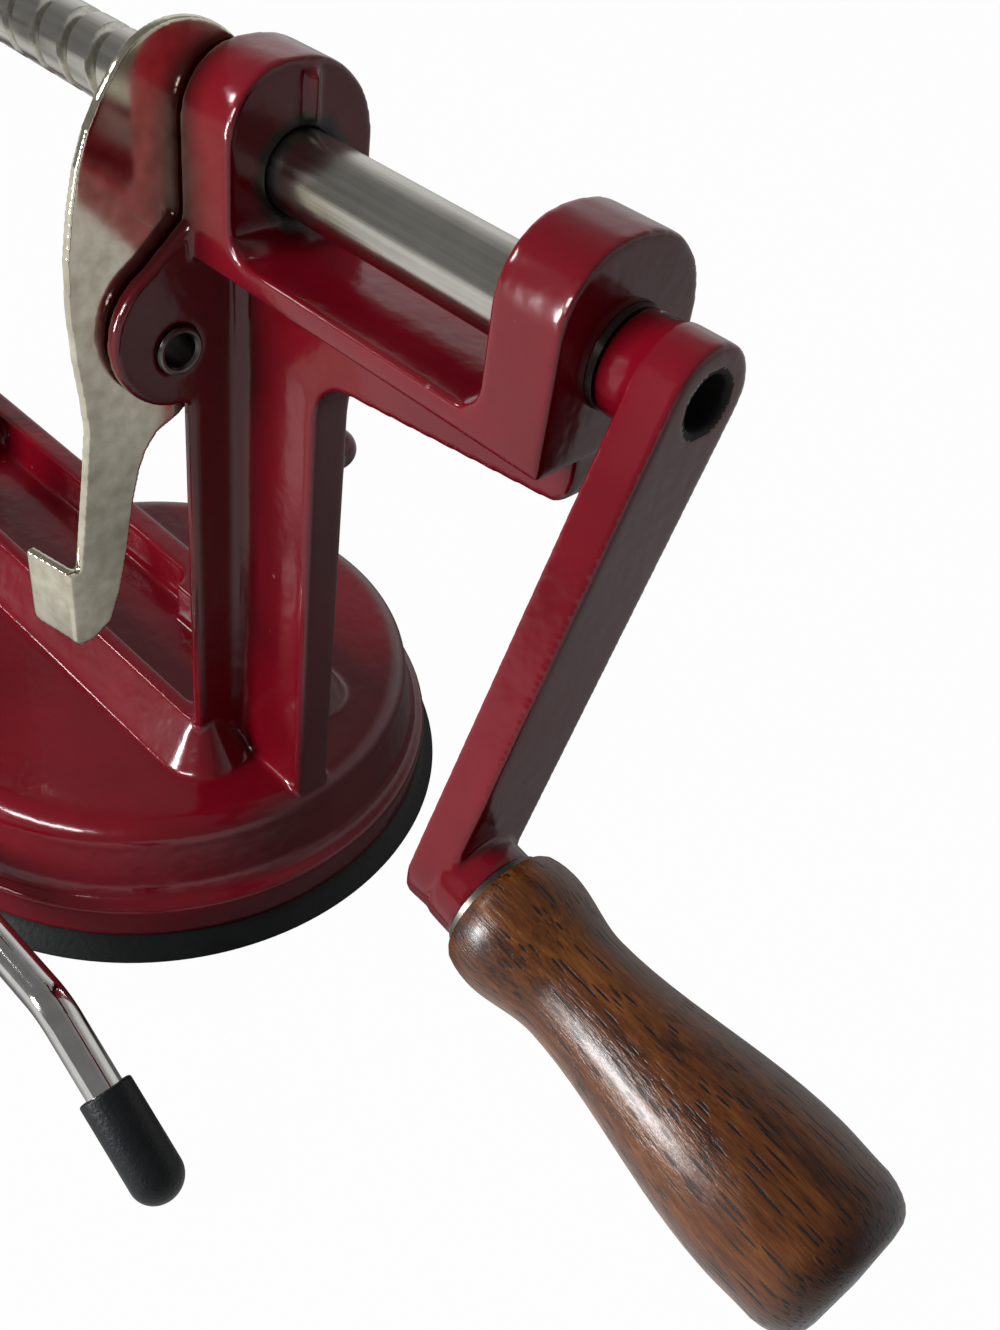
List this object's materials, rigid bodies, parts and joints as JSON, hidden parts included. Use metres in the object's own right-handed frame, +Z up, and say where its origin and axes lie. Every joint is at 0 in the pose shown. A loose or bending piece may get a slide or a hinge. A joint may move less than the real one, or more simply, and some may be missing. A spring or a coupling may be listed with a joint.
{
  "type": "apple peeler",
  "caption": "Hand-cranked apple peeler: cast frame on a round suction base, grooved feed shaft with fork, crank with wooden grip, release lever, sprung peeling arm and coring blade.",
  "frame": {"origin": "on the table under the middle of the suction base", "axes": "+X along the feed shaft towards the crank, +Z up, -Y the front where the crank hangs and the levers are"},
  "size_m": [0.2842, 0.1261, 0.1624],
  "materials": {
    "enamel": "glossy dark red enamel",
    "chrome": "bright plated",
    "steel": "satin",
    "dark_steel": "dark oiled",
    "wood": "varnished",
    "rubber": "matt black",
    "black_cap": "soft black"
  },
  "bodies": {
    "frame": {"base_casting": "enamel", "upright_casting": "enamel", "suction_cup": "rubber", "lever_eyelet": "chrome", "lever_spring": "steel", "clamp_bolt": "steel", "peel_pivot": "steel", "peel_spring": "steel"},
    "suction_lever": {"suction_rod": "chrome", "lever_cap": "black_cap", "lift_cam": "dark_steel"},
    "cup_lift": {"cup_yoke": "dark_steel"},
    "release": {"release_lever": "chrome"},
    "feed_carrier": {"thrust_washer": "steel"},
    "crank": {"drive_shaft": "chrome", "feed_screw": "chrome", "fruit_fork": "chrome", "fork_pin": "dark_steel", "crank_arm": "enamel", "crank_pin": "dark_steel", "handle_pin": "chrome", "handle_washer": "dark_steel"},
    "grip": {"wood_grip": "wood"},
    "blade": {"blade_bracket": "steel", "slicer_blade": "steel", "blade_rivets": "steel"},
    "clamp_plate": {"clamp_washer": "steel"},
    "nut": {"wing_nut": "steel"},
    "peeler": {"peel_arm": "enamel", "peel_blade": "steel", "peel_screw": "dark_steel"}
  },
  "joints": [
    {"name": "feed", "type": "slide", "parent": "frame", "child": "feed_carrier", "axis": [1, 0, 0], "range_m": [0, 0.08918]},
    {"name": "crank_turn", "type": "hinge", "parent": "feed_carrier", "child": "crank", "pos_m": [0.1034, 0, 0.144], "axis": [1, 0, 0], "range_deg": [0, 4140]},
    {"name": "handle_spin", "type": "hinge", "parent": "crank", "child": "grip", "pos_m": [0.115, -0.02684, 0.08076], "axis": [0.9945, -0.0408, -0.0962], "continuous": true},
    {"name": "release_press", "type": "hinge", "parent": "frame", "child": "release", "pos_m": [0.03075, -0.0153, 0.1172], "axis": [1, 0, 0], "range_deg": [0, 8], "stiffness_Nm_per_rad": 0.4, "springref_deg": -17.19},
    {"name": "suction_throw", "type": "hinge", "parent": "frame", "child": "suction_lever", "pos_m": [0, -0.06105, 0.0205], "axis": [0, -1, 0], "range_deg": [0, 170]},
    {"name": "cup_rise", "type": "slide", "parent": "frame", "child": "cup_lift", "axis": [0, 0, 1], "range_m": [0, 0.00203]},
    {"name": "blade_set", "type": "slide", "parent": "frame", "child": "blade", "axis": [1, 0, 0], "range_m": [-0.003, 0.003]},
    {"name": "nut_rise", "type": "slide", "parent": "frame", "child": "clamp_plate", "axis": [0, 0, 1], "range_m": [0, 0.00201]},
    {"name": "nut_turn", "type": "hinge", "parent": "clamp_plate", "child": "nut", "pos_m": [-0.09333, 0, 0.043], "axis": [0, 0, 1], "range_deg": [0, 720]},
    {"name": "peel_swing", "type": "hinge", "parent": "frame", "child": "peeler", "pos_m": [-0.06313, -0.022, 0.041], "axis": [1, 0, 0], "range_deg": [0, 27], "stiffness_Nm_per_rad": 0.5, "springref_deg": -22.92}
  ],
  "couplings": [
    {"joint": "feed", "follows": "crank_turn", "m_per_rad": 0.0012335},
    {"joint": "cup_rise", "follows": "suction_throw", "m_per_rad": 0.00066895},
    {"joint": "nut_rise", "follows": "nut_turn", "m_per_rad": 0.00015915}
  ]
}
